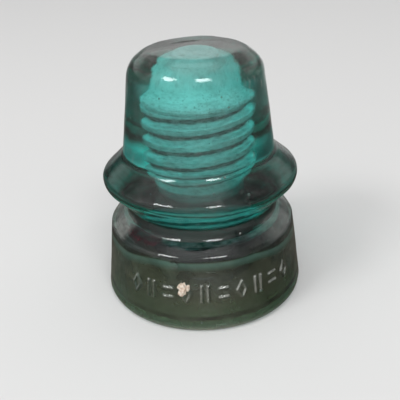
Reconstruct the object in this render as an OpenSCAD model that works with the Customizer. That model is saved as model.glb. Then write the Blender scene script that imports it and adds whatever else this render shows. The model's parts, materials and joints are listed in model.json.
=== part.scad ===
// Pin-type line insulator in pressed glass, signal pattern.
// One moulding: crown, flared upper skirt, wire groove, lower skirt, and an
// inner petticoat around a pinhole with a 4-per-inch coarse thread.
// Origin: centre of the rim plane that the insulator stands on. +Z is up.

/* [Outside] */
// Outside diameter at the rim
base_d = 82.5; // [78:0.5:88]
// Overall height
total_h = 101; // [97:0.5:106]
// Diameter at the shoulder of the lower skirt
shoulder_d = 75.6; // [73:0.1:77]
// Height of the shoulder of the lower skirt
shoulder_z = 31; // [29.5:0.1:32]
// Diameter of the wire groove's wall at its foot, before rounding
groove_foot_d = 62.4; // [60:0.1:64]
// Height of the wire groove's foot
groove_foot_z = 35.7; // [34.5:0.1:36]
// Rounding radius at the groove's foot, where the wire lies
groove_r = 4.5; // [2:0.1:5]
// Diameter of the wire groove's wall at its top
groove_d = 60.4; // [58:0.1:61]
// Height of the top of the wire groove, where the flare starts
groove_z = 39.4; // [39:0.1:41]
// Diameter of the flare, before its edge rounding
flare_d = 81.2; // [79:0.1:83]
// Height of the flare's widest line
flare_z = 51.2; // [49.5:0.1:53]
// Edge rounding of the flare
flare_r = 3.6; // [2:0.1:4.5]
// Diameter at the foot of the crown, before its rounding
crown_foot_d = 60.4; // [58:0.1:62]
// Height of the foot of the crown
crown_foot_z = 60.6; // [59.5:0.1:62]
// Diameter at the top of the crown's side, before the dome rounding
crown_top_d = 51.2; // [48:0.1:54]
// Width of the dome's flattened top, before rounding
dome_d = 38; // [32:0.5:42]
// Height of the dome above the crown's side
dome_h = 5.8; // [4:0.1:8]

/* [Skirt and petticoat] */
// Wall thickness of the lower skirt at the rim
skirt_wall = 4.6; // [4:0.1:6]
// Roof height of the hollow inside the skirt
hollow_z = 30.2; // [27:0.1:30.4]
// Outside diameter of the inner petticoat at its lip
petticoat_d = 43; // [40:0.5:46]
// Height of the petticoat's lip above the rim
petticoat_z = 9.5; // [5:0.5:14]

/* [Pinhole] */
// Thread crest diameter, the bore a plain pin would pass
thread_d = 25.4; // [24.5:0.1:26]
// Depth of the thread groove in the glass
thread_depth = 1.6; // [1.2:0.1:1.8]
// Thread pitch, four turns to the inch
thread_pitch = 6.35; // [6:0.05:6.7]
// Number of thread turns
thread_turns = 6; // [5:1:6]
// Height where the threaded wall starts
thread_z0 = 39; // [38:0.5:40]
// Length of the plain guide wall below the threaded wall
guide_len = 6; // [4:0.5:8]
// Length of the threaded wall, up to the run-out ring
thread_len = 40; // [39.5:0.1:40.5]
// Height of the run-out ring above the threaded wall
runout_h = 2.2; // [2:0.1:2.4]
// Diameter of the plain seat above the thread
seat_d = 18; // [17:0.2:20]
// Height where the plain seat starts
seat_z = 88.2; // [87:0.2:88.4]
// Height of the top of the pinhole
seat_top_z = 91.7; // [91.2:0.1:93]
// Mouth diameter of the pinhole at the petticoat's lip
mouth_d = 30; // [28:0.5:32]

/* [Relief marks] */
// How far the marks stand out of the skirt
mark_out = 0.8; // [0.3:0.1:1.2]
// Height of the marks
mark_h = 7.8; // [6:0.2:10]
// Width of a lozenge
mark_w = 4.8; // [3:0.2:5.6]
// Stroke width of the marks
mark_stroke = 0.9; // [0.7:0.1:1.4]
// Height of the middle of the mark band
mark_z = 16.8; // [14:0.2:19]
// Number of marks
mark_count = 10; // [4:1:12]
// Angle between neighbouring marks, in degrees
mark_step = 10.4; // [9:0.1:14]
// Direction of the middle of the mark band, in degrees from +X
mark_mid = 275; // [255:1:285]

/* [Dried deposit] */
// Overall height of the fleck stuck to the skirt
fleck_h = 6.8; // [4:0.2:8]
// Overall width of the fleck
fleck_w = 5.4; // [3:0.2:6]
// Thickness of the fleck over the glass
fleck_out = 1.1; // [0.9:0.1:1.6]
// Direction of the fleck, in degrees from +X
fleck_dir = 257.5; // [250:0.5:275]
// Height of the middle of the fleck
fleck_z = 18.8; // [14:0.2:22]

/* [Hidden] */
glass_color = [0.24, 0.62, 0.57, 0.75];
fleck_color = [0.72, 0.66, 0.58];
arc_steps = 12;   // per rounded corner of the section
turn_steps = 24;  // per turn of the thread
round_fn = 96;    // facets of every revolved piece

base_r = base_d / 2;
crest_r = thread_d / 2;
root_r = crest_r + thread_depth;
guide_z = thread_z0 - guide_len;
thread_top_z = thread_z0 + thread_len;

// The skirt's outside is a straight cone from here up to the shoulder.
skirt_z0 = 3;
skirt_slope = (shoulder_d / 2 - base_r) / (shoulder_z - skirt_z0);

// ---- path helpers -------------------------------------------------------
function unit(v) = v / norm(v);

function angle_of(v) = atan2(v[1], v[0]);

// The [radius, height] part of a path row.
function point(row) = [row[0], row[1]];

// Points of the arc that rounds a corner, between the legs to its neighbours.
function corner_arc(before, corner, after, radius) =
    let (leg_in = unit(before - corner),
         leg_out = unit(after - corner),
         half = acos(leg_in * leg_out) / 2,
         setback = radius / tan(half),
         centre = corner + unit(leg_in + leg_out) * (radius / sin(half)),
         start = angle_of(corner + leg_in * setback - centre),
         end = angle_of(corner + leg_out * setback - centre),
         sweep = (end - start + 540) % 360 - 180)
    [for (k = [0:arc_steps])
        let (angle = start + sweep * k / arc_steps)
        centre + radius * [cos(angle), sin(angle)]];

// A path of [radius, height, rounding] rows turned into points.
// Its first and last rows have no rounding.
function rounded(path) =
    [for (i = [0:len(path) - 1])
        each (path[i][2] > 0
            ? corner_arc(point(path[i - 1]), point(path[i]), point(path[i + 1]), path[i][2])
            : [point(path[i])])];

// ---- section of the glass -----------------------------------------------
// Both paths have the columns radius, height, rounding.
// The outside, from the axis at the top of the dome down to the rim.
outer_path = [
    [0, total_h, 0],
    [4, total_h - 0.04, 0],
    [8, total_h - 0.16, 0],
    [12, total_h - 0.36, 0],
    [dome_d / 2, total_h - 0.9, 7.5],
    [crown_top_d / 2, total_h - dome_h, 9.5],
    [crown_foot_d / 2, crown_foot_z, 6],
    [flare_d / 2, flare_z, flare_r],
    [groove_d / 2, groove_z, 1.2],
    [groove_foot_d / 2, groove_foot_z, groove_r],
    [shoulder_d / 2, shoulder_z, 3],
    [base_r, skirt_z0, 0],
    [base_r - 0.5, 0, 2]
];

skirt_top_wall = 4.8;     // shoulder radius less hollow radius at its roof
petticoat_spread = 3.2;   // growth in radius from the lip to the roof
guide_clearance = 1.1;    // radial, at the foot of the lead-in to the guide
lead_in_h = 3;            // height of that lead-in
runout_rise = 0.9;        // from the threaded wall out to the ring's root
runout_draft = 0.15;      // loss of radius up the ring
seat_draft = 0.3;         // loss of radius up the seat

// The inside, from the rim through the hollow, round the petticoat's lip and
// up the pinhole to the axis.
inner_path = [
    [base_r - skirt_wall, 0, 1.8],
    [shoulder_d / 2 - skirt_top_wall, hollow_z, 3],
    [petticoat_d / 2 + petticoat_spread, hollow_z, 2.4],
    [petticoat_d / 2, petticoat_z, 2.2],
    [mouth_d / 2, petticoat_z, 2],
    [crest_r + guide_clearance, guide_z - lead_in_h, 0],
    [crest_r, guide_z, 0],
    [crest_r, thread_z0, 0],
    [crest_r, thread_top_z, 0],
    [root_r, thread_top_z + runout_rise, 0.4],
    [root_r - runout_draft, thread_top_z + runout_h, 0.5],
    [seat_d / 2, seat_z, 4],
    [seat_d / 2 - seat_draft, seat_top_z, 1.5],
    [0, seat_top_z, 0]
];

module section() {
    polygon(rounded(concat(outer_path, inner_path)));
}

// ---- pinhole thread -----------------------------------------------------
thread_start_dir = 200;   // degrees from +X
fade_turns = 0.4;         // turns over which the groove grows and fades
min_depth = 0.12;         // groove depth at its two ends
bore_overlap = 0.9;       // reach of the cutter inside the crest
groove_corners = 6;

// Corners of the cutter at a given depth: [radius, height about the helix].
function groove_section(depth) =
    let (half_w = thread_pitch * 0.37 * max(depth / thread_depth, 0.35))
    [[crest_r - bore_overlap, -half_w * 1.05],
     [crest_r - bore_overlap, half_w * 1.05],
     [crest_r + depth * 0.66, half_w * 0.64],
     [crest_r + depth, half_w * 0.26],
     [crest_r + depth, -half_w * 0.26],
     [crest_r + depth * 0.66, -half_w * 0.64]];

// The groove grows in at the first step and fades out to the last.
function groove_depth(step, steps) =
    let (fade_steps = turn_steps * fade_turns)
    max(min_depth, thread_depth * min(1, step / fade_steps, (steps - step) / fade_steps));

// Cutter for the helical groove, centred on the height of the threaded wall.
module thread_groove() {
    steps = thread_turns * turn_steps;
    rise = thread_pitch / turn_steps;
    start_z = thread_z0 + (thread_len - thread_pitch * thread_turns) / 2;
    points = [for (i = [0:steps])
        let (angle = thread_start_dir + 360 * i / turn_steps)
        for (spot = groove_section(groove_depth(i, steps)))
            [spot[0] * cos(angle), spot[0] * sin(angle), start_z + rise * i + spot[1]]];
    sides = [for (i = [0:steps - 1]) for (k = [0:groove_corners - 1])
        let (ring = groove_corners * i,
             next_ring = ring + groove_corners,
             next = (k + 1) % groove_corners)
        each [[ring + k, next_ring + k, next_ring + next],
              [ring + k, next_ring + next, ring + next]]];
    start_cap = [[0, 1, 2], [0, 2, 5], [2, 3, 4], [2, 4, 5]];
    // The same triangles on the last ring, turned to face the other way.
    last_ring = groove_corners * steps;
    end_cap = [for (face = start_cap)
        [last_ring + face[0], last_ring + face[2], last_ring + face[1]]];
    polyhedron(points = points, faces = concat(sides, start_cap, end_cap), convexity = 10);
}

// ---- pieces that follow the skirt ---------------------------------------
function skirt_radius(z) = base_r + skirt_slope * (z - skirt_z0);

// A conical shell on the skirt, reaching half_h above and below mid_z,
// from depth inside the surface to out beyond it.
module skirt_shell(mid_z, half_h, depth, out) {
    low = mid_z - half_h;
    high = mid_z + half_h;
    rotate_extrude($fn = round_fn)
        polygon([[skirt_radius(low) - depth, low],
                 [skirt_radius(low) + out, low],
                 [skirt_radius(high) + out, high],
                 [skirt_radius(high) - depth, high]]);
}

// A flat outline pushed outwards through the skirt, facing direction dir.
module on_skirt(dir, z) {
    start_depth = 12;  // inside the rim radius
    push_len = 18;
    rotate([0, 0, dir])
        translate([base_r - start_depth, 0, z])
            rotate([90, 0, 90])
                linear_extrude(height = push_len) children();
}

// ---- relief marks -------------------------------------------------------
mark_root = 1.2;      // depth of the marks' root in the glass
band_margin = 2;      // of the mark band, above and below the marks

module rhombus(width) {
    polygon([[-width / 2, 0], [0, -mark_h / 2], [width / 2, 0], [0, mark_h / 2]]);
}

module lozenge() {
    difference() {
        rhombus(mark_w);
        scale(1 - 2.5 * mark_stroke / mark_h) rhombus(mark_w * 0.7);
    }
}

module upright_bars() {
    for (side = [-1, 1])
        translate([side * mark_w * 0.26, 0])
            square([mark_stroke, mark_h * 0.92], center = true);
}

module level_bars() {
    for (side = [-1, 1])
        translate([0, side * mark_h * 0.24])
            square([mark_w * 0.84, mark_stroke], center = true);
}

// Lozenges, pairs of upright bars and pairs of level bars, in turn.
module marks() {
    intersection() {
        skirt_shell(mark_z, mark_h / 2 + band_margin, mark_root, mark_out);
        union() {
            for (i = [0:mark_count - 1])
                on_skirt(mark_mid + (i - (mark_count - 1) / 2) * mark_step, mark_z) {
                    if (i % 3 == 0) lozenge();
                    else if (i % 3 == 1) upright_bars();
                    else level_bars();
                }
        }
    }
}

// An ellipse with an uneven edge made of three waves.
module fleck_outline() {
    size_ratio = 2.4;  // overall size over mean radius
    polygon([for (a = [0:15:345])
        let (wave = 1 + 0.16 * sin(3 * a + 40) + 0.10 * sin(5 * a) + 0.06 * cos(7 * a))
        [fleck_w / size_ratio * wave * cos(a), fleck_h / size_ratio * wave * sin(a)]]);
}

// ---- nodes --------------------------------------------------------------
module glass_body() {
    color(glass_color)
    difference() {
        union() {
            rotate_extrude($fn = round_fn) section();
            marks();
        }
        thread_groove();
    }
}

// Dried fleck on the outside of the skirt, fitted around the marks it meets.
module deposit_fleck() {
    color(fleck_color)
    difference() {
        intersection() {
            skirt_shell(fleck_z, fleck_h, 0, fleck_out);
            on_skirt(fleck_dir, fleck_z) fleck_outline();
        }
        marks();
    }
}

glass_body();
deposit_fleck();
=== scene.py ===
# A threaded glass insulator with a dried deposit on its skirt, standing on a pale floor.
# Its axis is Z, its rim rests on z = 0 and the relief marks face the camera, towards -Y.
# Shape sizes are in millimetres; materials, lights and camera are in metres.
# An azimuth is in degrees from the front (-Y), positive to the right (+X).
# A bearing is in degrees from +X, so the front is 270.
import json
import math
import bpy, bmesh
import numpy as np
from mathutils import Matrix, Vector


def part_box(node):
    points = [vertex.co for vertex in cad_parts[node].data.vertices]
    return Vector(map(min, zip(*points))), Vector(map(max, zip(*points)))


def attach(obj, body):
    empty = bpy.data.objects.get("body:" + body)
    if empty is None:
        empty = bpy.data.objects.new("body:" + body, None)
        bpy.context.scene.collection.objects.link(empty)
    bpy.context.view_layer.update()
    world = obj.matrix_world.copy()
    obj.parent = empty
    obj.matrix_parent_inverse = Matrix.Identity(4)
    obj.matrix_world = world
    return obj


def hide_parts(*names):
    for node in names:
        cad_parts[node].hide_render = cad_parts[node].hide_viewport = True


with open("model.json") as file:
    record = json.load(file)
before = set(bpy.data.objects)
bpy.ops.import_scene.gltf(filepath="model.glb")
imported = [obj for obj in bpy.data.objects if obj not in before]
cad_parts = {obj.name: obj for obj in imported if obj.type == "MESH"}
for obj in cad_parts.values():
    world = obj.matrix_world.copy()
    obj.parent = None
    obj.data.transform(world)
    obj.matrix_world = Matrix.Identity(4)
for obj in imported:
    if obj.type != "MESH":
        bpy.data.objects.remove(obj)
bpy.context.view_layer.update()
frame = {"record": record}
scene = bpy.context.scene
MM = 0.001
FRONT = 270.0

# --------------------------------------------------------------------------
# driving sizes
low_corner, high_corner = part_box("glass_body")
BASE_R = (high_corner.x - low_corner.x) / 2 / MM
TOTAL_H = high_corner.z / MM
pinhole = next(m for m in frame["record"]["mounts"] if m["name"] == "pinhole")
CREST_R = pinhole["dims"]["r_mm"]          # pinhole radius at the thread's crests
PITCH, TURNS, THREAD_DEPTH = 6.35, 6, 1.6
THREAD_Z0, THREAD_Z1 = 39.0, 79.0
THREAD_BEARING = 200.0                     # where the groove begins
SHOULDER_R, SHOULDER_Z = 37.8, 31.0
SKIRT_Z0 = 3.0
RIM_MID_R = BASE_R - 2.3
ROOF_Z = 30.2                              # roof of the skirt's hollow
LIP_Z = 9.5                                # foot of the pinhole's tube
SEAT_TOP = 91.7                            # closed end of the pinhole

# section of the glass, from the dome's centre round to the pinhole's end:
# radius, height, rounding radius
SECTION = [
    (0, TOTAL_H, 0), (4, TOTAL_H - 0.04, 0), (8, TOTAL_H - 0.16, 0), (12, TOTAL_H - 0.36, 0),
    (19, TOTAL_H - 0.9, 7.5), (25.6, TOTAL_H - 5.8, 9.5), (30.2, 60.6, 6), (40.6, 51.2, 3.6),
    (30.2, 39.4, 1.2), (31.2, 35.7, 4.5), (SHOULDER_R, SHOULDER_Z, 3.0), (BASE_R, SKIRT_Z0, 0),
    (BASE_R - 0.5, 0, 2), (BASE_R - 4.6, 0, 1.8),
    (SHOULDER_R - 4.8, ROOF_Z, 3.0), (24.7, ROOF_Z, 2.4), (21.5, LIP_Z, 2.2), (15, LIP_Z, 2),
    (CREST_R + 1.1, 30, 0), (CREST_R, 33, 0), (CREST_R, THREAD_Z0, 0), (CREST_R, THREAD_Z1, 0),
    (CREST_R + THREAD_DEPTH, THREAD_Z1 + 0.9, 0.4),
    (CREST_R + THREAD_DEPTH - 0.15, THREAD_Z1 + 2.2, 0.5),
    (9.0, 88.2, 4.0), (8.7, SEAT_TOP, 1.5), (0, SEAT_TOP, 0),
]
CORNER_STEPS = 14

# columns of the mesh: fine round the relief, coarser behind
FINE_START, FINE_END, FINE_STEP, COARSE_STEP = -52, 62, 0.42, 1.0


def unit(vector):
    return vector / np.linalg.norm(vector)


def arc_corner(before, tip, after, rounding):
    """Points of the arc that rounds off one corner."""
    u, w = unit(before - tip), unit(after - tip)
    half = math.acos(float(np.clip(u @ w, -1, 1))) / 2
    start, end = tip + u * rounding / math.tan(half), tip + w * rounding / math.tan(half)
    centre = tip + unit(u + w) * rounding / math.sin(half)
    angle0, angle1 = (math.atan2(p[1] - centre[1], p[0] - centre[0]) for p in (start, end))
    sweep = (angle1 - angle0 + 3 * math.pi) % (2 * math.pi) - math.pi
    angles = [angle0 + sweep * k / CORNER_STEPS for k in range(CORNER_STEPS + 1)]
    return [centre + rounding * np.array([math.cos(a), math.sin(a)]) for a in angles]


def rounded(path):
    points = []
    for i, (r, z, rounding) in enumerate(path):
        tip = np.array([r, z], float)
        if rounding > 0:
            before, after = (np.array(path[k][:2], float) for k in (i - 1, i + 1))
            points += arc_corner(before, tip, after, rounding)
        else:
            points.append(tip)
    return points


def row_step(r, z):
    """Spacing of the rows: fine at the relief and the thread."""
    if r > 36.5 and 8 < z < 29:
        return 0.28
    if r < 15.5 and 38 < z < 82:
        return 0.3
    if r < 12 and z < 95:
        return 0.6
    return 0.9


def resample(points):
    """Even steps along each piece of the path."""
    out = [points[0]]
    for q in points[1:]:
        p = out[-1]
        count = max(1, int(math.ceil(np.linalg.norm(q - p) / row_step(*((p + q) / 2)))))
        out += [p + (q - p) * k / count for k in range(1, count + 1)]
    return np.array(out)


profile = resample(rounded(SECTION))
tangent = np.gradient(profile, axis=0)
normal = np.stack([-tangent[:, 1], tangent[:, 0]], 1)      # points out of the glass
normal /= np.linalg.norm(normal, axis=1)[:, None]
normal[0], normal[-1] = (0, 1), (0, -1)


def nearest_row(r, z):
    return int(np.argmin(np.abs(profile - np.array([r, z])).sum(1)))


# which part of the section each row belongs to
rim_row, lip_row = nearest_row(RIM_MID_R, 0), nearest_row(18.2, LIP_Z)
row = np.arange(len(profile))[:, None]
outside = row <= rim_row
in_hollow = (row > rim_row) & (row < lip_row)
in_hole = row >= lip_row

bearings = FRONT + np.concatenate([
    np.arange(FINE_START, FINE_END, FINE_STEP),
    np.arange(FINE_END, FINE_START + 360, COARSE_STEP)])
COLS, ROWS = len(bearings), len(profile)
angle, radius = np.meshgrid(np.radians(bearings), profile[:, 0])
height = np.repeat(profile[:, 1][:, None], COLS, axis=1)
bearing = np.degrees(angle)
grid_x, grid_y = radius * np.cos(angle), radius * np.sin(angle)


def waves(scale, count, seed):
    """Smooth seeded noise: a sum of sine waves in random directions."""
    gen = np.random.default_rng(seed)
    freq = gen.normal(size=(count, 3))
    freq /= np.linalg.norm(freq, axis=1)[:, None]
    freq *= (2 * math.pi / scale) * gen.uniform(0.6, 1.5, (count, 1))
    phases = gen.uniform(0, 2 * math.pi, count)

    def field(x, y, z):
        total = np.zeros_like(x)
        for f, phase in zip(freq, phases):
            total += np.sin(f[0] * x + f[1] * y + f[2] * z + phase)
        return total / math.sqrt(count)

    return field


def smooth(a, b, x):
    t = np.clip((x - a) / (b - a), 0, 1)
    return t * t * (3 - 2 * t)


def arc_from(centre, r):
    """Distance round the surface from a bearing, at radius r."""
    return np.radians((bearing - centre + 180) % 360 - 180) * r


# --------------------------------------------------------------------------
# uneven surface: displacement along the normal
mid_waves = waves(scale=11, count=12, seed=2)
slow = waves(scale=38, count=9, seed=1)(grid_x, grid_y, height)
mid = mid_waves(grid_x, grid_y, height)
quick = waves(scale=3.4, count=14, seed=3)(grid_x, grid_y, height)
off_rim = np.clip(height / 3.0, 0, 1)
disp = outside * off_rim * (0.13 * slow + 0.045 * mid)
disp += in_hollow * off_rim * (0.16 * slow + 0.09 * mid + 0.02 * quick)
disp += in_hole * (0.07 * mid + 0.022 * quick * np.clip((height - 40) / 6, 0, 1))

# --------------------------------------------------------------------------
# relief marks on the lower skirt: lozenges and pairs of bars, softened by wear
MARK_COUNT, MARK_STEP, MARK_MID = 10, 10.4, 275.0          # spacing and middle bearing
MARK_H, MARK_W, MARK_STROKE = 7.8, 4.8, 0.95
MARK_Z, MARK_R, MARK_OUT, MARK_SOFT = 16.8, 39.6, 0.8, 0.24
MARK_BEARINGS = [MARK_MID + (i - (MARK_COUNT - 1) / 2) * MARK_STEP for i in range(MARK_COUNT)]


def lozenge(x, y, half_w, half_h):
    return (np.abs(x) / half_w + np.abs(y) / half_h - 1) / math.hypot(1 / half_w, 1 / half_h)


def bar(x, y, half_w, half_h):
    return np.maximum(np.abs(x) - half_w, np.abs(y) - half_h)


def mark_edge(kind, x, y):
    """Distance from a mark's edge, negative inside it."""
    if kind == 0:                          # hollow lozenge
        inner = 1 - 2.5 * MARK_STROKE / MARK_H
        outline = lozenge(x, y, MARK_W / 2, MARK_H / 2)
        opening = lozenge(x, y, MARK_W / 2 * 0.7 * inner, MARK_H / 2 * inner)
        return np.maximum(outline, -opening)
    if kind == 1:                          # two upright bars
        bars = [bar(x - side * MARK_W * 0.26, y, MARK_STROKE / 2, MARK_H * 0.46)
                for side in (-1, 1)]
    else:                                  # two level bars
        bars = [bar(x, y - side * MARK_H * 0.24, MARK_W * 0.42, MARK_STROKE / 2)
                for side in (-1, 1)]
    return np.minimum(*bars)


def mark_height(at_bearing, z):
    """Height of the marks over the skirt, 0 to 1."""
    out = np.zeros_like(z)
    for i, centre in enumerate(MARK_BEARINGS):
        x = np.radians((at_bearing - centre + 180) % 360 - 180) * MARK_R
        edge = mark_edge(i % 3, x, z - MARK_Z)
        out = np.maximum(out, (np.abs(x) < 6) * smooth(MARK_SOFT, -MARK_SOFT, edge))
    return out


mark_band = outside & (height > 9) & (height < 26) & (radius > 36)
marks = np.where(mark_band, mark_height(bearing, height), 0)
wear = 0.82 + 0.18 * mid_waves(grid_x * 1.7, grid_y * 1.7, height * 1.7)
disp += MARK_OUT * marks * np.clip(wear, 0.55, 1.0)

# slopes of the marks: painted highlight on the upper and left slopes (above 0) and painted shade on
# the lower and right ones (below 0); the marks' tops add a little above 0, for dust
upward = np.zeros_like(marks)
rise = height[2:] - height[:-2]
upward[1:-1] = (marks[2:] - marks[:-2]) / np.where(np.abs(rise) < 0.05, 1e9, rise)
two_columns = np.radians(FINE_STEP) * MARK_R * 2
sideways = (np.roll(marks, -1, 1) - np.roll(marks, 1, 1)) / two_columns
relief = np.clip(-0.42 * upward + 0.34 * sideways, -1, 1) + 0.14 * marks

# --------------------------------------------------------------------------
# shallow crescent fold above the marks
fold_x = arc_from(268.5, 39.0)
fold = np.exp(-(((height - (23.6 + 0.028 * fold_x ** 2)) / 0.38) ** 2))
fold *= np.clip(1 - (fold_x / 5.0) ** 4, 0, 1)
disp -= np.where(outside & (height < 27) & (height > 20), 0.26 * fold, 0)

# small chip under the shoulder
chip_x = arc_from(252.8, 38.2)
chip = np.clip(1 - ((chip_x / 1.9) ** 2 + ((height - 28.3) / 1.5) ** 2), 0, 1) ** 0.6
chip *= 0.42 * (1 + 0.5 * np.sin(chip_x * 4 + height * 5))
disp -= np.where(outside & (height > 25.5) & (height < 31) & (radius > 36), chip, 0)

# crease over the dome, behind the axis: y = CREASE_Y + CREASE_SLOPE * x
CREASE_Y, CREASE_SLOPE = 7.1, 0.2
crease = np.exp(-(((grid_y - CREASE_Y - CREASE_SLOPE * grid_x) / 0.9) ** 2))
crease *= smooth(-9.5, -6.5, grid_x) * smooth(3.5, 0, grid_x)
disp -= np.where(outside & (height > 93), 0.14 * crease, 0)

# --------------------------------------------------------------------------
# the pinhole's right-hand thread
thread_start = THREAD_Z0 + (THREAD_Z1 - THREAD_Z0 - TURNS * PITCH) / 2
turns = (height - thread_start) / PITCH - (bearing - THREAD_BEARING) / 360.0
turns -= np.floor(turns)
below = (np.round(turns) - turns) * 2      # above 0 on the groove's lower side
groove = 1 - smooth(0.30, 0.86, np.abs(below))
ends = smooth(thread_start - 1.5, thread_start + 2.5, height)
ends *= smooth(THREAD_Z1 + 3.0, THREAD_Z1 - 0.2, height)
cut = THREAD_DEPTH * groove * ends - np.clip(radius - CREST_R, 0, None)
in_thread = in_hole & (height > THREAD_Z0 - 3) & (height < 82)
disp = np.where(in_thread, disp - np.clip(cut, 0, None), disp)
# painted shade on the lower side of the groove, which faces down, away from the light
lee = np.where(in_thread, smooth(0.10, 0.38, below) * smooth(1.06, 0.96, below) * ends, 0)

disp *= np.clip(radius / 6, 0, 1)          # none at the axis
moved_r = radius + normal[:, 0][:, None] * disp
moved_z = np.maximum(height + normal[:, 1][:, None] * disp, 0.0)   # the rim stays flat
grid = np.stack([moved_r * np.cos(angle), moved_r * np.sin(angle), moved_z], -1)
glass_verts = np.vstack([
    [[0, 0, moved_z[0].mean()]], grid[1:-1].reshape(-1, 3), [[0, 0, moved_z[-1].mean()]]])


def glass_faces():
    def vert(i, j):
        return 1 + (i - 1) * COLS + (j % COLS)

    i, j = np.meshgrid(np.arange(1, ROWS - 2), np.arange(COLS), indexing="ij")
    quads = np.stack([vert(i, j), vert(i + 1, j), vert(i + 1, j + 1), vert(i, j + 1)], -1)
    j = np.arange(COLS)
    top = np.stack([np.zeros(COLS, int), vert(1, j), vert(1, j + 1)], -1)
    last = np.full(COLS, len(glass_verts) - 1)
    bottom = np.stack([last, vert(ROWS - 2, j + 1), vert(ROWS - 2, j)], -1)
    return quads.reshape(-1, 4).tolist() + top.tolist() + bottom.tolist()


# --------------------------------------------------------------------------
# seed bubbles: small closed voids in the glass
# the larger ones: azimuth, radius, height, size
LARGE_BUBBLES = [
    (17.0, 29.5, 59.5, 0.55), (24.5, 26.3, 84.5, 0.45), (19.0, 26.0, 88.5, 0.35),
    (7.5, 33.5, 55.5, 0.40), (28.0, 36.2, 54.0, 0.60), (33.0, 38.8, 12.6, 0.70),
    (-3.0, 39.2, 3.6, 0.45), (25.0, 33.0, 37.0, 0.40), (-31.0, 24.6, 88.0, 0.40),
]
SMALL_BUBBLES = 64


def bubble_places():
    """Azimuth, radius, height, size and upright stretch of each bubble."""
    places = [(*place, 1.0) for place in LARGE_BUBBLES]
    draw = np.random.default_rng(7).uniform
    for _ in range(SMALL_BUBBLES):
        part = draw()
        azimuth = draw(-180, 180)
        if part < 0.55:                    # crown wall
            place = (draw(17.5, 25.0), draw(62, 90), draw(0.10, 0.26), draw(1, 1.8))
        elif part < 0.8:                   # flare
            place = (draw(18, 34), draw(48, 56), draw(0.10, 0.26), 1.0)
        else:                              # skirt wall
            z = draw(4, 26)
            place = (RIM_MID_R - (z - SKIRT_Z0) * 0.124, z, draw(0.10, 0.24), 1.0)
        places.append((azimuth, *place))
    return places


def bubbles():
    bm = bmesh.new()
    bmesh.ops.create_icosphere(bm, subdivisions=2, radius=1.0)
    ball = np.array([v.co[:] for v in bm.verts])
    # reversed, so that the faces look into the void
    ball_faces = np.array([[v.index for v in f.verts] for f in bm.faces])[:, ::-1]
    bm.free()
    verts, faces = [], []
    for i, (azimuth, r, z, size, stretch) in enumerate(bubble_places()):
        a = math.radians(270 + azimuth)
        centre = np.array([r * math.cos(a), r * math.sin(a), z])
        verts.append(ball * size * np.array([1, 1, stretch]) + centre)
        faces.append(ball_faces + i * len(ball))
    return np.vstack(verts), np.vstack(faces)


bubble_verts, bubble_faces = bubbles()


def add_object(name, mesh):
    obj = bpy.data.objects.new(name, mesh)
    scene.collection.objects.link(obj)
    return obj


def add_attribute(mesh, name, values, last=0.0, bubble=0.0):
    """Stores a grid of values, with those of the last vertex and of the bubbles."""
    data = np.concatenate([
        [0.0], values[1:-1].reshape(-1), [last], np.full(len(bubble_verts), bubble)])
    attribute = mesh.attributes.new(name, "FLOAT", "POINT")
    attribute.data.foreach_set("value", data.astype(np.float32))


def build_glass():
    mesh = bpy.data.meshes.new("insulator_glass")
    verts = np.vstack([glass_verts, bubble_verts]) * MM
    faces = glass_faces() + (bubble_faces + len(glass_verts)).tolist()
    mesh.from_pydata(verts.tolist(), [], faces)
    mesh.update()
    mesh.shade_smooth()
    # zone: 0 outside, 1 the skirt's hollow, 2 the pinhole, 3 the bubbles
    zone = np.where(outside, 0.0, np.where(in_hollow, 1.0, 2.0)) * np.ones(COLS)
    add_attribute(mesh, "zone", zone, last=2.0, bubble=3.0)
    add_attribute(mesh, "relief", relief)
    # painted shade on the lower side of the thread's groove
    add_attribute(mesh, "lee", lee)
    return add_object("insulator_glass", mesh)


glass = build_glass()


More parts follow.
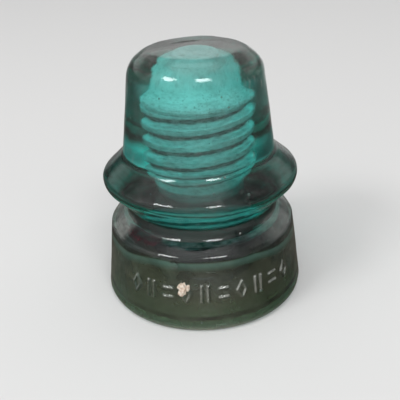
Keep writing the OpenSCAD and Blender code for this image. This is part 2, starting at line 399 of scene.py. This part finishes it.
# --------------------------------------------------------------------------
# material helpers
class Nodes:
    """Adds nodes to a tree. Colours are RGB; an input takes a value or a socket."""

    def __init__(self, tree):
        self.tree = tree

    def feed(self, socket, value):
        if isinstance(value, bpy.types.NodeSocket):
            self.tree.links.new(value, socket)
        else:
            socket.default_value = (*value, 1) if socket.type == "RGBA" else value

    def node(self, kind, **inputs):
        new = self.tree.nodes.new("ShaderNode" + kind)
        for name, value in inputs.items():
            self.feed(new.inputs[name.replace("_", " ")], value)
        return new

    def shader(self, kind, **inputs):
        return self.node(kind, **inputs).outputs[0]

    def operate(self, kind, operation, *values):
        new = self.node(kind)
        new.operation = operation
        for socket, value in zip(new.inputs, values):
            self.feed(socket, value)
        return new

    def calc(self, operation, a, b):
        return self.operate("Math", operation, a, b).outputs[0]

    def mul(self, a, b):
        return self.calc("MULTIPLY", a, b)

    def add(self, a, b):
        return self.calc("ADD", a, b)

    def sub(self, a, b):
        return self.calc("SUBTRACT", a, b)

    def most(self, a, b):
        return self.calc("MAXIMUM", a, b)

    def size(self, a):
        return self.calc("ABSOLUTE", a, 0.0)

    def length(self, vector):
        return self.operate("VectorMath", "LENGTH", vector).outputs["Value"]

    def noise(self, coord, scale, detail, rough):
        return self.node("TexNoise", Vector=coord, Scale=scale, Detail=detail,
                         Roughness=rough).outputs["Fac"]

    def span(self, value, over, to=(0.0, 1.0)):
        """Maps one range to another and holds the ends."""
        new = self.node("MapRange", Value=value, From_Min=over[0], From_Max=over[1],
                        To_Min=to[0], To_Max=to[1])
        new.clamp = True
        return new.outputs["Result"]

    def shelf(self, value, up, down, top=1.0):
        """Rises from 0 to top over one range and falls to 0 over another."""
        return self.mul(self.span(value, over=up, to=(0.0, top)),
                        self.span(value, over=down, to=(1.0, 0.0)))

    def ramp(self, fac, stops):
        new = self.node("ValToRGB", Fac=fac)
        elements = new.color_ramp.elements
        while len(elements) < len(stops):
            elements.new(0.5)
        for element, (position, colour) in zip(elements, stops):
            element.position = position
            element.color = (*colour, 1)
        return new.outputs["Color"]

    def blend(self, fac, a, b, mode="MIX"):
        new = self.node("Mix")
        new.data_type = "RGBA"
        new.blend_type = mode
        for index, value in ((0, fac), (6, a), (7, b)):
            self.feed(new.inputs[index], value)
        return new.outputs[2]

    def mix_shader(self, fac, a, b):
        new = self.node("MixShader")
        for socket, value in zip(new.inputs, (fac, a, b)):
            self.feed(socket, value)
        return new.outputs[0]

    def around(self, x, y):
        """Azimuth as a fraction: 0.5 in front, 0.75 to the right, 0 and 1 behind."""
        turn = self.calc("ARCTAN2", x, self.mul(y, -1.0))
        return self.add(self.calc("DIVIDE", turn, 2 * math.pi), 0.5)

    def by_azimuth(self, turn, stops, tint=(1, 1, 1)):
        """A tinted ramp from stops of azimuth and brightness."""
        return self.ramp(turn, [(azimuth / 360 + 0.5, tuple(value * t for t in tint))
                                for azimuth, value in stops])


# --------------------------------------------------------------------------
# aqua glass: clear and lightly dusted outside, hazy and grimy in the hollow, with painted light and
# shade in these films
class GlassNodes(Nodes):
    """Nodes with the places, zones and noises that the glass's layers share."""

    def __init__(self, tree):
        super().__init__(tree)
        self.co = self.node("TexCoord").outputs["Object"]
        self.x, self.y, self.z = self.node("SeparateXYZ", Vector=self.co).outputs
        self.zone = self.attribute("zone")
        self.hollow, self.hole = self.in_zone(1.0), self.in_zone(2.0)
        self.clean = self.sub(1.0, self.add(self.hollow, self.hole))
        self.clean.node.use_clamp = True
        self.relief = self.attribute("relief")
        self.big = self.noise(self.co, scale=90, detail=5, rough=0.6)
        self.mid = self.noise(self.co, scale=420, detail=6, rough=0.65)
        self.fine = self.noise(self.co, scale=2200, detail=4, rough=0.6)
        self.azimuth = self.mul(self.sub(self.around(self.x, self.y), 0.5), 360.0)

    def attribute(self, name):
        new = self.node("Attribute")
        new.attribute_name = name
        return new.outputs["Fac"]

    def in_zone(self, number):
        match = self.calc("COMPARE", self.zone, number)
        match.node.inputs[2].default_value = 0.45          # tolerance
        return match


def clear_glass(g):
    rough = g.add(g.mul(g.hollow, g.span(g.mid, over=(0.3, 0.7), to=(0.10, 0.26))),
                  g.mul(g.hole, g.span(g.mid, over=(0.35, 0.7), to=(0.08, 0.24))))
    rough = g.add(rough, g.mul(g.clean, g.span(g.mid, over=(0.45, 0.75), to=(0.0, 0.055))))
    fine_share = 0.25
    bump = g.node("Bump", Strength=0.10, Distance=0.0004,
                  Height=g.add(g.mid, g.mul(g.fine, fine_share)))
    return g.shader("BsdfPrincipled", Base_Color=(0.975, 0.99, 0.985), Transmission_Weight=1.0,
                    IOR=1.52, Roughness=rough, Normal=bump.outputs["Normal"])


def pinhole_frost_and_shade(g):
    """Cover and shader of the pale film in the pinhole, streaked along the thread, with painted shade
    on the lower side of the groove.
    """
    z = g.z
    squashed = g.shader("Mapping", Vector=g.co, Scale=(1, 1, 3.2))
    streak = g.noise(squashed, scale=300, detail=6, rough=0.7)
    pale = g.ramp(streak, [
        (0.28, (0.62, 0.66, 0.64)), (0.5, (0.88, 0.90, 0.89)), (0.72, (0.97, 0.97, 0.97))])
    # darker at the foot, at the closed end and in grains; painted shade on the lower side of the
    # grooves
    dull = g.span(z, over=(0.036, 0.047), to=(1.0, 0.0))
    shade_in_groove = g.mul(g.attribute("lee"), g.span(streak, over=(0.38, 0.68), to=(1.0, 0.62)))
    dull = g.most(dull, g.mul(shade_in_groove, 0.97))
    dull = g.most(dull, g.span(z, over=(0.0893, 0.0915), to=(0.0, 0.12)))
    grain = g.noise(g.co, scale=1500, detail=3, rough=0.6)
    grain = g.span(grain, over=(0.56, 0.66), to=(0.0, 0.55))
    brim = g.shelf(z, up=(0.078, 0.080), down=(0.083, 0.087))
    dull = g.most(dull, g.mul(grain, g.add(g.mul(brim, 0.7), 0.55)))
    colour = g.blend(dull, pale, (0.060, 0.054, 0.046))
    see_through = 0.22
    frost = g.mix_shader(see_through, g.shader("BsdfDiffuse", Color=colour),
                         g.shader("BsdfTranslucent", Color=colour))
    # thicker above the thread and where it is dull
    thick = g.add(g.span(z, over=(0.079, 0.084), to=(0.0, 0.42)), g.mul(dull, 0.52))
    cover = g.add(g.span(streak, over=(0.3, 0.7), to=(0.34, 0.66)), thick)
    return g.mul(g.hole, g.calc("MINIMUM", cover, 0.95)), frost


def hollow_grime_light_and_shade(g):
    """Cover and shader of the grime inside the skirt, with painted light, painted shade and a painted
    reflection in its colour.
    """
    z = g.z
    skirt_tone_grime_and_light = g.ramp(g.big, [
        (0.28, (0.042, 0.029, 0.014)), (0.5, (0.108, 0.076, 0.048)), (0.72, (0.22, 0.17, 0.125))])
    # darker towards the right
    skirt_tone_grime_and_light = g.blend(g.span(g.x, over=(-0.004, 0.022), to=(0.0, 0.92)), skirt_tone_grime_and_light,
                   (0.38, 0.31, 0.20), mode="MULTIPLY")
    flat = g.operate("VectorMath", "MULTIPLY", g.co, (1, 1, 0)).outputs[0]
    radius = g.length(flat)
    wide = g.size(g.azimuth)
    # bands sit lower away from the front
    band_z = g.add(z, g.span(wide, over=(34, 54), to=(0.0, 0.0022)))

    # painted light: a lit greenish band under the roof, for light led down from the ledge; then the
    # mottled roof
    band = g.shelf(band_z, up=(0.0235, 0.0262), down=(0.0270, 0.0278), top=0.70)
    skirt_tone_grime_and_light = g.blend(band, skirt_tone_grime_and_light, (0.19, 0.25, 0.21))
    roof = g.ramp(g.mid, [
        (0.36, (0.060, 0.052, 0.050)), (0.52, (0.16, 0.115, 0.118)), (0.66, (0.26, 0.20, 0.20))])
    skirt_tone_grime_and_light = g.blend(g.span(z, over=(0.0290, 0.0296), to=(0.0, 0.8)), skirt_tone_grime_and_light, roof)
    # painted light: paler away from the front, where the glass there is lit
    pale = g.mul(g.span(z, over=(0.0262, 0.0275)),
                 g.span(g.mid, over=(0.40, 0.56), to=(0.5, 1.0)))
    pale = g.mul(g.span(wide, over=(38, 50), to=(0.0, 0.85)), pale)
    skirt_tone_grime_and_light = g.blend(pale, skirt_tone_grime_and_light, (0.24, 0.29, 0.25))
    # painted shade: near-black outer edge of the roof, the dark corner of the hollow, with a line
    # that goes all round
    edge = g.mul(g.span(band_z, over=(0.0272, 0.0279), to=(0.0, 0.97)),
                 g.span(radius, over=(0.0288, 0.0300)))
    edge = g.mul(edge, g.span(wide, over=(40, 50), to=(1.0, 0.2)))
    line = g.mul(g.span(band_z, over=(0.0274, 0.0279), to=(0.0, 0.96)),
                 g.span(radius, over=(0.0302, 0.0308)))
    skirt_tone_grime_and_light = g.blend(g.most(edge, line), skirt_tone_grime_and_light, (0.010, 0.010, 0.010))

    # purplish halfway up, close to x = 4 mm
    plum = g.shelf(z, up=(0.011, 0.016), down=(0.021, 0.025), top=0.55)
    from_plum = g.size(g.add(g.x, -0.004))
    plum = g.mul(plum, g.span(from_plum, over=(0.006, 0.022), to=(1.0, 0.0)))
    skirt_tone_grime_and_light = g.blend(plum, skirt_tone_grime_and_light, (0.125, 0.092, 0.098))
    # painted light: greener low down, for light led down the glass towards the rim
    low_green_glow = g.mul(g.span(z, over=(0.006, 0.012), to=(0.62, 0.0)),
                 g.span(g.mid, over=(0.35, 0.60), to=(0.45, 1.0)))
    skirt_tone_grime_and_light = g.blend(low_green_glow, skirt_tone_grime_and_light, (0.085, 0.125, 0.060))
    # painted shade: a dark line where the inner rim's edge shows through the glass, over a paler foot
    rim_edge_shade = g.shelf(z, up=(0.0028, 0.0034), down=(0.0043, 0.0052), top=0.95)
    rim_edge_shade = g.mul(rim_edge_shade, g.span(g.big, over=(0.35, 0.50), to=(0.35, 1.0)))
    skirt_tone_grime_and_light = g.blend(rim_edge_shade, skirt_tone_grime_and_light, (0.012, 0.012, 0.010))
    # painted light: the paler foot, the bright line where light led down the glass meets the rim
    foot = g.span(z, over=(0.0022, 0.0029), to=(0.7, 0.0))
    skirt_tone_grime_and_light = g.blend(foot, skirt_tone_grime_and_light, (0.12, 0.165, 0.095))

    # painted reflection: a dark red streak, the table's dark streak seen through the glass, at the
    # left of the roof: an ellipse round azimuth -51, radius 29.2 mm
    across = g.calc("DIVIDE", g.add(g.azimuth, 51.0), 19.0)
    along = g.calc("DIVIDE", g.sub(radius, 0.0292), 0.0040)
    red_streak_reflection = g.add(g.mul(across, across), g.mul(along, along))
    red_streak_reflection = g.add(red_streak_reflection, g.span(g.mid, over=(0.3, 0.7), to=(-0.35, 0.35)))
    red_streak_reflection = g.mul(g.span(red_streak_reflection, over=(0.75, 1.15), to=(1.0, 0.0)),
                  g.span(z, over=(0.026, 0.028)))
    skirt_tone_grime_and_light = g.blend(red_streak_reflection, skirt_tone_grime_and_light, (0.075, 0.002, 0.008))

    roof_weight = 1.0                      # of the extra cover near the roof
    near_roof = g.mul(g.span(z, over=(0.020, 0.029), to=(0.0, 0.2)), roof_weight)
    cover = g.add(g.span(g.big, over=(0.3, 0.7), to=(0.60, 0.92)), near_roof)
    cover = g.mul(g.hollow, g.calc("MINIMUM", cover, 0.97))
    return cover, g.shader("BsdfDiffuse", Color=skirt_tone_grime_and_light)


def outer_dust_and_light(g):
    """Cover and shader of the pale dust and scuffs outside, with painted light on the marks, the
    ledge and the bubbles.
    """
    z = g.z
    film = g.span(g.mid, over=(0.5, 0.85), to=(0.0, 0.06))
    ledge = g.shelf(z, up=(0.0295, 0.0305), down=(0.037, 0.039), top=0.8)
    film = g.mul(film, g.sub(1.0, ledge))
    # more over the dome and at the rim
    dome = g.mul(g.span(z, over=(0.090, 0.0995), to=(0.0, 0.075)),
                 g.span(g.mid, over=(0.3, 0.7), to=(0.4, 1.0)))
    film = g.add(film, dome)
    film = g.add(film, g.span(z, over=(0.0012, 0.0030), to=(0.18, 0.0)))
    # fine upright scuffs, mostly at the right of the crown
    stretched = g.shader("Mapping", Vector=g.co, Scale=(1, 1, 0.035))
    scuff = g.noise(stretched, scale=1500, detail=3, rough=0.6)
    scuff = g.span(scuff, over=(0.58, 0.72), to=(0.0, 0.45))
    patches = g.noise(g.co, scale=60, detail=2, rough=0.5)
    scuff = g.mul(scuff, g.span(patches, over=(0.48, 0.62)))
    scuff = g.mul(scuff, g.span(g.x, over=(-0.006, 0.018), to=(0.35, 1.0)))
    scuff = g.mul(scuff, g.span(z, over=(0.040, 0.060), to=(0.15, 1.0)))
    # painted light: a pale film on the ledge left and right of the front, where the glass is lit
    sides = g.add(g.span(g.azimuth, over=(-61, -54), to=(0.28, 0.0)),
                  g.span(g.azimuth, over=(40, 52), to=(0.0, 0.20)))
    sides = g.mul(sides, g.span(g.mid, over=(0.35, 0.62), to=(0.35, 1.0)))
    sides = g.mul(g.shelf(z, up=(0.0300, 0.0315), down=(0.036, 0.038)), sides)
    # painted light: a pale tint on the bubbles, so that they show brighter
    bubble_brightening = g.mul(g.calc("GREATER_THAN", g.zone, 2.6), 0.30)
    # painted highlight on the marks' upper and left slopes, with dust on their tops
    on_marks = g.mul(g.most(g.relief, 0.0), g.span(g.mid, over=(0.35, 0.65), to=(0.22, 0.50)))
    for extra in (sides, scuff, bubble_brightening, on_marks):
        film = g.add(film, extra)
    specks = g.mul(g.span(g.fine, over=(0.64, 0.74), to=(0.0, 0.7)),
                   g.span(g.big, over=(0.4, 0.7), to=(0.0, 0.5)))
    cover = g.mul(g.clean, g.add(film, specks))
    return cover, g.shader("BsdfDiffuse", Color=(0.55, 0.56, 0.52))


def mark_shade_and_crease_line(g):
    """Cover and shader of the painted shade on the marks' lower and right slopes, and of a dark line
    along the dome's crease.
    """
    cover = g.mul(g.most(g.mul(g.relief, -1.0), 0.0),
                  g.span(g.mid, over=(0.35, 0.65), to=(0.35, 0.75)))
    crease = g.sub(g.y, g.mul(g.x, CREASE_SLOPE))
    crease = g.size(g.sub(crease, CREASE_Y * MM))
    crease = g.mul(g.span(crease, over=(0.0008, 0.0018), to=(0.70, 0.0)),
                   g.shelf(g.x, up=(-0.0095, -0.0075), down=(0.0, 0.0035)))
    on_dome = g.mul(g.span(g.z, over=(0.097, 0.098)),
                    g.span(g.mid, over=(0.35, 0.50), to=(0.3, 1.0)))
    crease = g.mul(g.mul(crease, g.clean), on_dome)
    return g.most(cover, crease), g.shader("BsdfDiffuse", Color=(0.018, 0.020, 0.016))


def glass_material():
    material = bpy.data.materials.new("aqua_glass")
    material.use_nodes = True
    material.node_tree.nodes.clear()
    g = GlassNodes(material.node_tree)
    surface = clear_glass(g)
    for layer in (pinhole_frost_and_shade, hollow_grime_light_and_shade, outer_dust_and_light, mark_shade_and_crease_line):
        cover, shader = layer(g)
        surface = g.mix_shader(cover, surface, shader)
    # the colour comes from the depth of glass the light crosses
    volume = g.shader("VolumeAbsorption", Color=(0.065, 0.88, 0.842), Density=60.0)
    g.node("OutputMaterial", Surface=surface, Volume=volume)
    return material


glass.data.materials.append(glass_material())
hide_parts("glass_body")
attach(glass, "root")

# --------------------------------------------------------------------------
# the dried deposit: a lumpy blob draped over the skirt and the edge of the marks
BLOB_BEARING, BLOB_Z, BLOB_R = 257.5, 18.8, 39.4
BLOB_HALF_W, BLOB_HALF_H = 2.20408, 2.77551
BLOB_LEAN = 0.18
BLOB_SUNK = 0.06                           # depth of its back below the glass
SPOKES, RINGS = 72, 22


def skirt_radius(at_bearing, z):
    slope = (SHOULDER_R - BASE_R) / (SHOULDER_Z - SKIRT_Z0)
    return BASE_R + slope * (z - SKIRT_Z0) + MARK_OUT * mark_height(at_bearing, z)


def deposit_verts():
    t = np.arange(RINGS + 1)[:, None] / RINGS
    a = 2 * math.pi * np.arange(SPOKES) / SPOKES
    outline = (1 + 0.15 * np.sin(3 * a + 0.7) + 0.10 * np.sin(5 * a)
               + 0.07 * np.cos(8 * a + 1) + 0.04 * np.sin(13 * a))
    x = BLOB_HALF_W * outline * np.cos(a) * t
    z = BLOB_HALF_H * outline * np.sin(a) * t
    x = x + BLOB_LEAN * z * t
    bearing_deg = BLOB_BEARING + np.degrees(x / BLOB_R)
    glass_r = skirt_radius(bearing_deg, BLOB_Z + z)
    coarse, small = waves(scale=2.6, count=8, seed=21), waves(scale=0.9, count=10, seed=22)
    lump = 0.34 + 0.15 * coarse(x, z, 0.0) + 0.10 * small(x, z, 1.0)
    outer_r = glass_r + np.maximum(0.03, lump) * (1 - t ** 6) ** 0.5
    q = np.radians(bearing_deg)
    return np.concatenate([
        np.stack([r * np.cos(q), r * np.sin(q), BLOB_Z + z], -1).reshape(-1, 3)
        for r in (outer_r, glass_r - BLOB_SUNK)])


def deposit_faces():
    faces = []
    skin = (RINGS + 1) * SPOKES            # vertices in each of the two skins
    for start, order in ((0, 1), (skin, -1)):
        for k in range(RINGS):
            here, beyond = start + k * SPOKES, start + (k + 1) * SPOKES
            for a in range(SPOKES):
                b = (a + 1) % SPOKES
                faces.append([here + a, beyond + a, beyond + b, here + b][::order])
    rim = RINGS * SPOKES
    for a in range(SPOKES):
        b = (a + 1) % SPOKES
        faces.append([rim + a, skin + rim + a, skin + rim + b, rim + b])
    return faces


def build_deposit():
    mesh = bpy.data.meshes.new("deposit")
    mesh.from_pydata((deposit_verts() * MM).tolist(), [], deposit_faces())
    bm = bmesh.new()
    bm.from_mesh(mesh)
    # joins the innermost ring, which is a single point
    bmesh.ops.remove_doubles(bm, verts=bm.verts, dist=1e-6)
    bmesh.ops.recalc_face_normals(bm, faces=bm.faces)
    bm.to_mesh(mesh)
    bm.free()
    mesh.shade_smooth()
    return add_object("deposit", mesh)


def deposit_material():
    material = bpy.data.materials.new("dried_deposit")
    material.use_nodes = True
    g = Nodes(material.node_tree)
    co = g.node("TexCoord").outputs["Object"]
    blotches = g.noise(co, scale=900, detail=5, rough=0.65)
    grain = g.noise(co, scale=3600, detail=4, rough=0.7)
    colour = g.ramp(blotches, [
        (0.30, (0.30, 0.22, 0.16)), (0.46, (0.56, 0.44, 0.35)),
        (0.60, (0.74, 0.68, 0.60)), (0.78, (0.86, 0.84, 0.80))])
    bump = g.node("Bump", Strength=0.5, Distance=0.0002, Height=grain)
    inputs = g.tree.nodes["Principled BSDF"].inputs
    g.feed(inputs["Base Color"], colour)
    g.feed(inputs["Roughness"], g.span(grain, over=(0.3, 0.7), to=(0.7, 0.98)))
    g.feed(inputs["Normal"], bump.outputs["Normal"])
    return material


deposit = build_deposit()
deposit.data.materials.append(deposit_material())
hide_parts("deposit_fleck")
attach(deposit, "root")

# --------------------------------------------------------------------------
# plain pale floor to the camera; every other ray meets glowing rings of varied tone
FLOOR_HALF, FLOOR_DROP = 2.5, 0.00015
# painted shadow: the dark floor under the glass, seen only by rays that are not the camera's
FLOOR_SHADOW_TONE = (0.105, 0.092, 0.058)
BROWN = (1.0, 0.90, 0.76)
# from the inside out: tint, then azimuth and brightness
FLOOR_RINGS = [
    (BROWN, [(-180, 0.08), (-90, 0.15), (-45, 0.22), (0, 0.62), (45, 0.10), (90, 0.11),
             (180, 0.08)]),
    (BROWN, [(-180, 0.30), (-155, 0.08), (-130, 0.05), (-90, 0.20), (-45, 0.16), (0, 0.70),
             (45, 0.10), (90, 0.20), (135, 0.08), (155, 0.12), (180, 0.30)]),
    ((1, 0.97, 0.93), [
        (-180, 0.65), (-155, 0.22), (-135, 0.08), (-90, 0.30), (-45, 0.08), (0, 0.50),
        (45, 0.08), (90, 0.12), (135, 0.10), (160, 0.38), (180, 0.65)]),
    ((1, 1, 1), [
        (-180, 0.85), (-160, 0.36), (-140, 0.11), (-120, 0.18), (-90, 0.60), (-45, 0.90),
        (0, 1.00), (45, 0.90), (65, 0.60), (90, 0.35), (125, 0.30), (145, 0.34),
        (165, 0.80), (180, 0.85)]),
]
# distances from the origin over which each ring gives way to the next
RING_EDGES = [(0.055, 0.070), (0.130, 0.150), (0.220, 0.380)]


def floor_material():
    material = bpy.data.materials.new("floor")
    material.use_nodes = True
    g = Nodes(material.node_tree)
    plain = g.tree.nodes["Principled BSDF"]
    plain.inputs["Roughness"].default_value = 0.85
    plain.inputs["Specular IOR Level"].default_value = 0.2
    g.feed(plain.inputs["Base Color"], (0.64, 0.638, 0.635))
    position = g.node("NewGeometry").outputs["Position"]
    place = g.node("SeparateXYZ", Vector=position).outputs
    turn = g.around(place["X"], place["Y"])
    distance = g.length(position)
    rings = [g.by_azimuth(turn, stops, tint) for tint, stops in FLOOR_RINGS]
    tone = rings[0]
    for edge, ring in zip(RING_EDGES, rings[1:]):
        tone = g.blend(g.span(distance, over=edge), tone, ring)
    tone = g.blend(g.span(distance, over=(0.038, 0.0405)), FLOOR_SHADOW_TONE, tone)
    glow = g.shader("Emission", Color=tone)
    to_camera = g.node("LightPath").outputs["Is Camera Ray"]
    surface = g.mix_shader(to_camera, glow, plain.outputs[0])
    g.feed(g.tree.nodes["Material Output"].inputs["Surface"], surface)
    return material


floor_mesh = bpy.data.meshes.new("floor")
floor_corners = [(x * FLOOR_HALF, y * FLOOR_HALF, 0) for x, y in ((-1, -1), (1, -1), (1, 1), (-1, 1))]
floor_mesh.from_pydata(floor_corners, [], [(0, 1, 2, 3)])
floor = add_object("floor", floor_mesh)
floor.location.z = -FLOOR_DROP
floor_mesh.materials.append(floor_material())

# --------------------------------------------------------------------------
# a soft room, uneven round the sides and bright overhead; the camera sees it plain
# from low to high: azimuth and brightness
SKY_BANDS = [
    [(-180, 0.50), (-162, 0.22), (-142, 0.06), (-108, 0.25), (-72, 0.60), (-36, 0.90), (0, 0.80),
     (36, 0.60), (72, 0.35), (108, 0.50), (144, 0.18), (162, 0.34), (180, 0.50)],
    [(-180, 0.85), (-145, 0.75), (-108, 0.50), (-72, 0.90), (-36, 1.10), (0, 0.95), (36, 0.80),
     (66, 0.30), (84, 0.35), (108, 0.85), (150, 0.68), (180, 0.85)],
    [(-180, 0.20), (-150, 0.42), (-128, 0.18), (-108, 0.40), (-76, 1.40), (-40, 1.20), (0, 1.20),
     (36, 1.15), (66, 0.25), (84, 0.30), (108, 0.60), (128, 0.30), (148, 0.42), (180, 0.20)],
    [(-180, 0.20), (-144, 0.75), (-108, 0.26), (-72, 1.30), (-36, 1.10), (0, 1.10), (36, 0.90),
     (72, 0.40), (108, 0.80), (144, 0.60), (180, 0.20)],
]
# sines of elevation over which each band gives way to the next, then to overhead
SKY_EDGES = [(0.17, 0.25), (0.43, 0.51), (0.69, 0.75), (0.88, 0.95)]
OVERHEAD = (1.4, 1.4, 1.4)
BACKDROP = (0.74, 0.75, 0.77)


def build_world():
    world = bpy.data.worlds.new("room")
    scene.world = world
    world.use_nodes = True
    world.node_tree.nodes.clear()
    g = Nodes(world.node_tree)
    direction = g.node("SeparateXYZ", Vector=g.node("TexCoord").outputs["Generated"]).outputs
    turn = g.around(direction["X"], direction["Y"])
    bands = [g.by_azimuth(turn, stops) for stops in SKY_BANDS] + [OVERHEAD]
    room = bands[0]
    for edge, band in zip(SKY_EDGES, bands[1:]):
        room = g.blend(g.span(direction["Z"], over=edge), room, band)
    colour = g.blend(g.node("LightPath").outputs["Is Camera Ray"], room, BACKDROP)
    g.node("OutputWorld", Surface=g.shader("Background", Color=colour, Strength=1.0))


build_world()

# two equal small lamps, in front and above, aimed at the middle of the glass
LAMPS = [("window_left", -55, 45), ("window_right", 17, 47)]     # name, azimuth, elevation
LAMP_TARGET, LAMP_DISTANCE = Vector((0, 0, 0.06)), 1.6
LAMP_W, LAMP_H, LAMP_POWER = 0.50, 0.33, 7.6

for name, azimuth, elevation in LAMPS:
    a, e = math.radians(azimuth), math.radians(elevation)
    towards = Vector((math.sin(a) * math.cos(e), -math.cos(a) * math.cos(e), math.sin(e)))
    light = bpy.data.lights.new(name, "AREA")
    light.shape = "RECTANGLE"
    light.size, light.size_y = LAMP_W, LAMP_H
    light.energy = LAMP_POWER
    lamp = add_object(name, light)
    lamp.location = LAMP_TARGET + towards * LAMP_DISTANCE
    lamp.rotation_mode = "QUATERNION"
    lamp.rotation_quaternion = (-towards).to_track_quat("-Z", "Y")

# --------------------------------------------------------------------------
# camera in front, looking down and slightly rolled
CAMERA_DOWN, CAMERA_ROLL = 27.555, -2.675                  # degrees
camera_data = bpy.data.cameras.new("camera")
camera_data.sensor_width = 36
camera_data.lens = 55.8
camera_data.shift_x = -0.0036
camera_data.clip_start, camera_data.clip_end = 0.01, 20
camera = add_object("camera", camera_data)
camera.rotation_mode = "QUATERNION"
tilt = Matrix.Rotation(math.radians(90 - CAMERA_DOWN), 3, "X")
roll = Matrix.Rotation(math.radians(CAMERA_ROLL), 3, "Z")
camera.rotation_quaternion = (tilt @ roll).to_quaternion()
camera.location = (0, -0.22985, 0.15613)
scene.camera = camera

scene.view_settings.view_transform = "Standard"
scene.cycles.max_bounces = 28
scene.cycles.transmission_bounces = 28
scene.cycles.glossy_bounces = 10
scene.cycles.diffuse_bounces = 6
scene.cycles.transparent_max_bounces = 16
scene.cycles.use_denoising = True
